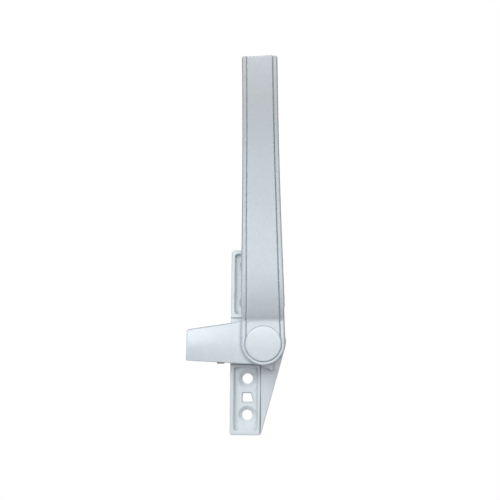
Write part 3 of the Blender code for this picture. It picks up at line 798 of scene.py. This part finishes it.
def map_range(tree, value, low, high, out_low, out_high):
    """A value taken from one range to another, clamped."""
    made = tree.nodes.new("ShaderNodeMapRange")
    for key, number in (("From Min", low), ("From Max", high), ("To Min", out_low), ("To Max", out_high)):
        made.inputs[key].default_value = number
    tree.links.new(value, made.inputs["Value"])
    return made.outputs["Result"]


class Surface:
    """A Principled material that is put together step by step from procedural detail."""

    def __init__(self, name, color, roughness, metallic=0.0, **sockets):
        self.material = bpy.data.materials.new(name)
        self.material.use_nodes = True
        self.tree = self.material.node_tree
        self.shader = self.tree.nodes["Principled BSDF"]
        self.color = color
        self.shader.inputs["Base Color"].default_value = (*color, 1)
        self.shader.inputs["Roughness"].default_value = roughness
        self.shader.inputs["Metallic"].default_value = metallic
        for key, value in sockets.items():
            self.shader.inputs[key.replace("_", " ")].default_value = value
        self.place = self.tree.nodes.new("ShaderNodeTexCoord").outputs["Object"]
        self.height = None

    def noise(self, per_mm, detail, stretch=None):
        source = self.place
        if stretch:
            mapping = self.tree.nodes.new("ShaderNodeMapping")
            mapping.inputs["Scale"].default_value = stretch
            self.tree.links.new(source, mapping.inputs["Vector"])
            source = mapping.outputs["Vector"]
        made = self.tree.nodes.new("ShaderNodeTexNoise")
        made.inputs["Scale"].default_value = per_mm / MM
        made.inputs["Detail"].default_value = detail
        made.inputs["Roughness"].default_value = 0.5
        self.tree.links.new(source, made.inputs["Vector"])
        return made.outputs["Fac"]

    def remap(self, value, low, high, out_low, out_high):
        return map_range(self.tree, value, low, high, out_low, out_high)

    def tint(self, value, other):
        """Mixes the base colour towards another one by a value."""
        mix = self.tree.nodes.new("ShaderNodeMix")
        mix.data_type = "RGBA"
        socket = self.shader.inputs["Base Color"]
        first, second = [i for i in mix.inputs if i.type == "RGBA"]
        if socket.is_linked:
            self.tree.links.new(socket.links[0].from_socket, first)
        else:
            first.default_value = (*self.color, 1)
        second.default_value = (*other, 1)
        self.tree.links.new(value, mix.inputs["Factor"])
        self.tree.links.new([o for o in mix.outputs if o.type == "RGBA"][0], socket)

    def rough(self, value):
        self.tree.links.new(value, self.shader.inputs["Roughness"])

    def bump(self, value, depth_mm, strength):
        made = self.tree.nodes.new("ShaderNodeBump")
        made.inputs["Strength"].default_value = strength
        made.inputs["Distance"].default_value = depth_mm * MM
        self.tree.links.new(value, made.inputs["Height"])
        if self.height is not None:
            self.tree.links.new(self.height, made.inputs["Normal"])
        self.height = made.outputs["Normal"]
        self.tree.links.new(self.height, self.shader.inputs["Normal"])

    def painted_reflection(self, start_mm, full_mm, other, amount):
        """Painted reflection: a slightly warmer, duller tone along the grip, from one height to another,
        standing in for a change in what the coat reflects.
        """
        split = self.tree.nodes.new("ShaderNodeSeparateXYZ")
        self.tree.links.new(self.place, split.inputs["Vector"])
        self.tint(self.remap(split.outputs["Z"], start_mm * MM, full_mm * MM, 0.0, amount), other)

    def painted_shade(self, reach_mm, closed, clear, other, amount):
        """Painted shade: a darker tone where the surface is enclosed, full at one share of open sky, gone
        at another.
        """
        made = self.tree.nodes.new("ShaderNodeAmbientOcclusion")
        made.samples = 8
        made.inputs["Distance"].default_value = reach_mm * MM
        self.tint(self.remap(made.outputs["AO"], closed, clear, amount, 0.0), other)


def powder_coat(name, color, gloss=0.0, crevice=(1.8, 0.2, 0.65), shade_strength=0.8, reflection_tone=None):
    """Powder coat over a casting: fine orange peel, faint mottling, painted shade in the recesses."""
    made = Surface(name, color, 0.4 - gloss, Specular_IOR_Level=0.5, Coat_Weight=0.45, Coat_Roughness=0.24)
    made.tint(made.remap(made.noise(0.045, 3.0), 0.35, 0.68, 0.0, 0.55), scaled(color, 0.93))
    made.tint(made.remap(made.noise(1.6, 2.0), 0.5, 0.8, 0.0, 0.35), scaled(color, 1.03))
    # Painted reflection: the grip's upper end is tinted warmer and darker, as the surroundings reflected
    # there would make it.
    if reflection_tone:
        made.painted_reflection(84.0, 110.0, reflection_tone, 0.85)
    # Painted shade: the base colour darkens where ambient occlusion finds the surface enclosed, standing in
    # for contact shadows.
    made.painted_shade(*crevice, scaled(color, 0.5), shade_strength)
    made.rough(made.remap(made.noise(0.3, 4.0), 0.3, 0.7, 0.27 - gloss, 0.37 - gloss))
    made.bump(made.noise(1.05, 2.0), 0.012, 0.6)
    made.bump(made.noise(0.16, 1.0), 0.03, 0.35)
    return made.material


def nylon(name, color):
    """Moulded nylon: slightly milky, with faint flow marks."""
    made = Surface(name, color, 0.5, Subsurface_Weight=0.12, Subsurface_Radius=(0.0012, 0.0011, 0.001))
    flow = made.noise(0.25, 3.0, (1.0, 1.0, 0.2))
    made.tint(made.remap(flow, 0.4, 0.7, 0.0, 0.5), scaled(color, 0.9))
    made.rough(made.remap(made.noise(0.8, 3.0), 0.3, 0.7, 0.44, 0.6))
    made.bump(made.noise(2.2, 2.0), 0.01, 0.5)
    return made.material


def plated_steel(name, color, low, high, stretch):
    """Plated or oiled steel with fine tool marks."""
    made = Surface(name, color, (low + high) / 2, 1.0)
    made.tint(made.remap(made.noise(0.2, 4.0), 0.4, 0.7, 0.0, 0.6), scaled(color, 0.78))
    made.rough(made.remap(made.noise(0.9, 4.0), 0.3, 0.7, low, high))
    made.bump(made.noise(3.0, 2.0, stretch), 0.006, 0.5)
    return made.material


# Stage, light and camera.

PALE = (0.86, 0.86, 0.85)
FLOOR_CELLS = 12
FLOOR_REACH = 2.4
FLOOR_DROP = 3.0
FLOOR_GLOW = 0.25
SKY_RAMP = (-0.8, 1.0, 0.0, 0.48)
SKY_COLOR = (1.0, 0.96, 1.04, 1)
LIGHT_TARGET = (0, 0, 0.04)
# Name, place, width, watts and colour of each light.
LIGHTS = (
    ("key", (-0.65, -0.8, 0.6), 0.5, 4.2, (0.95, 1.0, 1.0)),
    ("fill", (0.75, -0.6, 0.65), 0.5, 1.4, (0.95, 1.0, 1.0)),
    ("panel", (-0.05, -1.05, 0.25), 0.6, 4.65, (0.94, 1.0, 1.0)),
)
CAMERA_DISTANCE = 757.0
CAMERA_CENTRE = (0.35, 43.15)
CAMERA_ROLL = math.radians(0.7)
FRAME_WIDTH = 237.5
SENSOR_WIDTH = 36.0


def make_floor():
    """A pale floor far below the handle, lit a little more than the rest."""
    bm = bmesh.new()
    ticks = [FLOOR_REACH * (2 * i / FLOOR_CELLS - 1) for i in range(FLOOR_CELLS + 1)]
    grid = [[bm.verts.new((x, y, -FLOOR_DROP)) for y in ticks] for x in ticks]
    for here, following in zip(grid, grid[1:]):
        for j in range(FLOOR_CELLS):
            bm.faces.new((here[j], following[j], following[j + 1], here[j + 1]))
    floor = new_object("studio_floor", bm)
    pale = Surface("studio_floor", PALE, 0.75, Emission_Color=(*PALE, 1), Emission_Strength=FLOOR_GLOW)
    pale.tint(pale.remap(pale.noise(0.012, 3.0), 0.35, 0.7, 0.0, 0.4), scaled(PALE, 0.97))
    floor.data.materials.append(pale.material)


def area_light(name, location, width, watts, color):
    data = bpy.data.lights.new(name, "AREA")
    data.shape = "RECTANGLE"
    data.size = data.size_y = width
    data.energy = watts
    data.color = color
    light = bpy.data.objects.new(name, data)
    bpy.context.scene.collection.objects.link(light)
    light.location = location
    aim = Vector(LIGHT_TARGET) - Vector(location)
    light.rotation_euler = aim.to_track_quat("-Z", "Y").to_euler()


def background(tree, color):
    made = tree.nodes.new("ShaderNodeBackground")
    made.inputs["Color"].default_value = color
    return made


def make_world():
    """Soft sky light that is stronger from above, with plain white behind the object."""
    world = bpy.data.worlds.new("studio")
    bpy.context.scene.world = world
    world.use_nodes = True
    tree = world.node_tree
    tree.nodes.clear()
    place = tree.nodes.new("ShaderNodeTexCoord")
    split = tree.nodes.new("ShaderNodeSeparateXYZ")
    tree.links.new(place.outputs["Generated"], split.inputs["Vector"])
    soft = background(tree, SKY_COLOR)
    tree.links.new(map_range(tree, split.outputs["Z"], *SKY_RAMP), soft.inputs["Strength"])
    plain = background(tree, (1, 1, 1, 1))
    seen = tree.nodes.new("ShaderNodeLightPath")
    mix = tree.nodes.new("ShaderNodeMixShader")
    out = tree.nodes.new("ShaderNodeOutputWorld")
    tree.links.new(seen.outputs["Is Camera Ray"], mix.inputs["Fac"])
    tree.links.new(soft.outputs["Background"], mix.inputs[1])
    tree.links.new(plain.outputs["Background"], mix.inputs[2])
    tree.links.new(mix.outputs["Shader"], out.inputs["Surface"])


def make_camera():
    data = bpy.data.cameras.new("camera")
    data.sensor_width = SENSOR_WIDTH
    data.lens = SENSOR_WIDTH * CAMERA_DISTANCE / FRAME_WIDTH
    data.clip_start, data.clip_end = 0.01, 20.0
    camera = bpy.data.objects.new("camera", data)
    bpy.context.scene.collection.objects.link(camera)
    x, z = CAMERA_CENTRE
    camera.matrix_world = (
        Matrix.Translation(Vector((x, -CAMERA_DISTANCE, z)) * MM)
        @ Matrix.Rotation(math.pi / 2, 4, "X")
        @ Matrix.Rotation(CAMERA_ROLL, 4, "Z")
    )
    bpy.context.scene.camera = camera


def main():
    # The base's coat is a lighter copy of the lever's white, painted light that makes up for the lever's
    # shadow on the base; it also has wider painted shade in its recesses.
    coat = powder_coat("white_powder_coat", (0.81, 0.865, 0.89), crevice=(2.4, 0.3, 0.85))
    lever_coat = powder_coat("white_powder_coat_lever", (0.76, 0.82, 0.86), 0.04, reflection_tone=(0.69, 0.71, 0.73))
    # The tongue's coat carries stronger painted shade, darkening the outline round the heel and the edges
    # under the hub.
    tongue_coat = powder_coat("white_powder_coat_tongue", (0.76, 0.82, 0.86), 0.04, (2.5, 0.35, 0.85), 0.9)
    cap_coat = powder_coat("white_cap", (0.76, 0.82, 0.85), 0.08)
    shoe = nylon("natural_nylon", (0.66, 0.68, 0.66))
    zinc = plated_steel("zinc_plated_steel", (0.66, 0.68, 0.70), 0.24, 0.42, (1.0, 6.0, 1.0))
    spring = plated_steel("spring_steel", (0.33, 0.34, 0.36), 0.28, 0.5, (1.0, 4.0, 1.0))
    pieces = (
        (make_base(), "base", "base_body", "white_powder_coat", coat),
        (place_on_pivot(make_tongue()), "handle", "tongue", "white_powder_coat", tongue_coat),
        (place_on_pivot(make_pad()), "handle", "tongue_pad", "natural_nylon", shoe),
        (place_on_pivot(make_lever()), "handle", "lever_body", "white_powder_coat", lever_coat),
        (place_on_pivot(make_plate()), "handle", "grip_plate", "white_powder_coat", lever_coat),
        (place_on_pivot(make_cap()), "handle", "hub_cap", "white_moulding", cap_coat),
    )
    for piece, body, replaced, slot, made in pieces:
        finish_surface(piece, made)
        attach(piece, body)
        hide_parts(replaced)
    kept = {
        shoe: ("pivot_bush", "thrust_washer"),
        zinc: ("back_washer", "spindle", "clamp_washer", "lever_screw"),
        spring: ("wave_washer", "lock_washer"),
    }
    for made, names in kept.items():
        for name in names:
            for slot in frame["nodes"][name].material_slots:
                slot.material = made
    make_floor()
    make_world()
    for light in LIGHTS:
        area_light(*light)
    make_camera()
    bpy.context.scene.view_settings.view_transform = "Standard"


main()
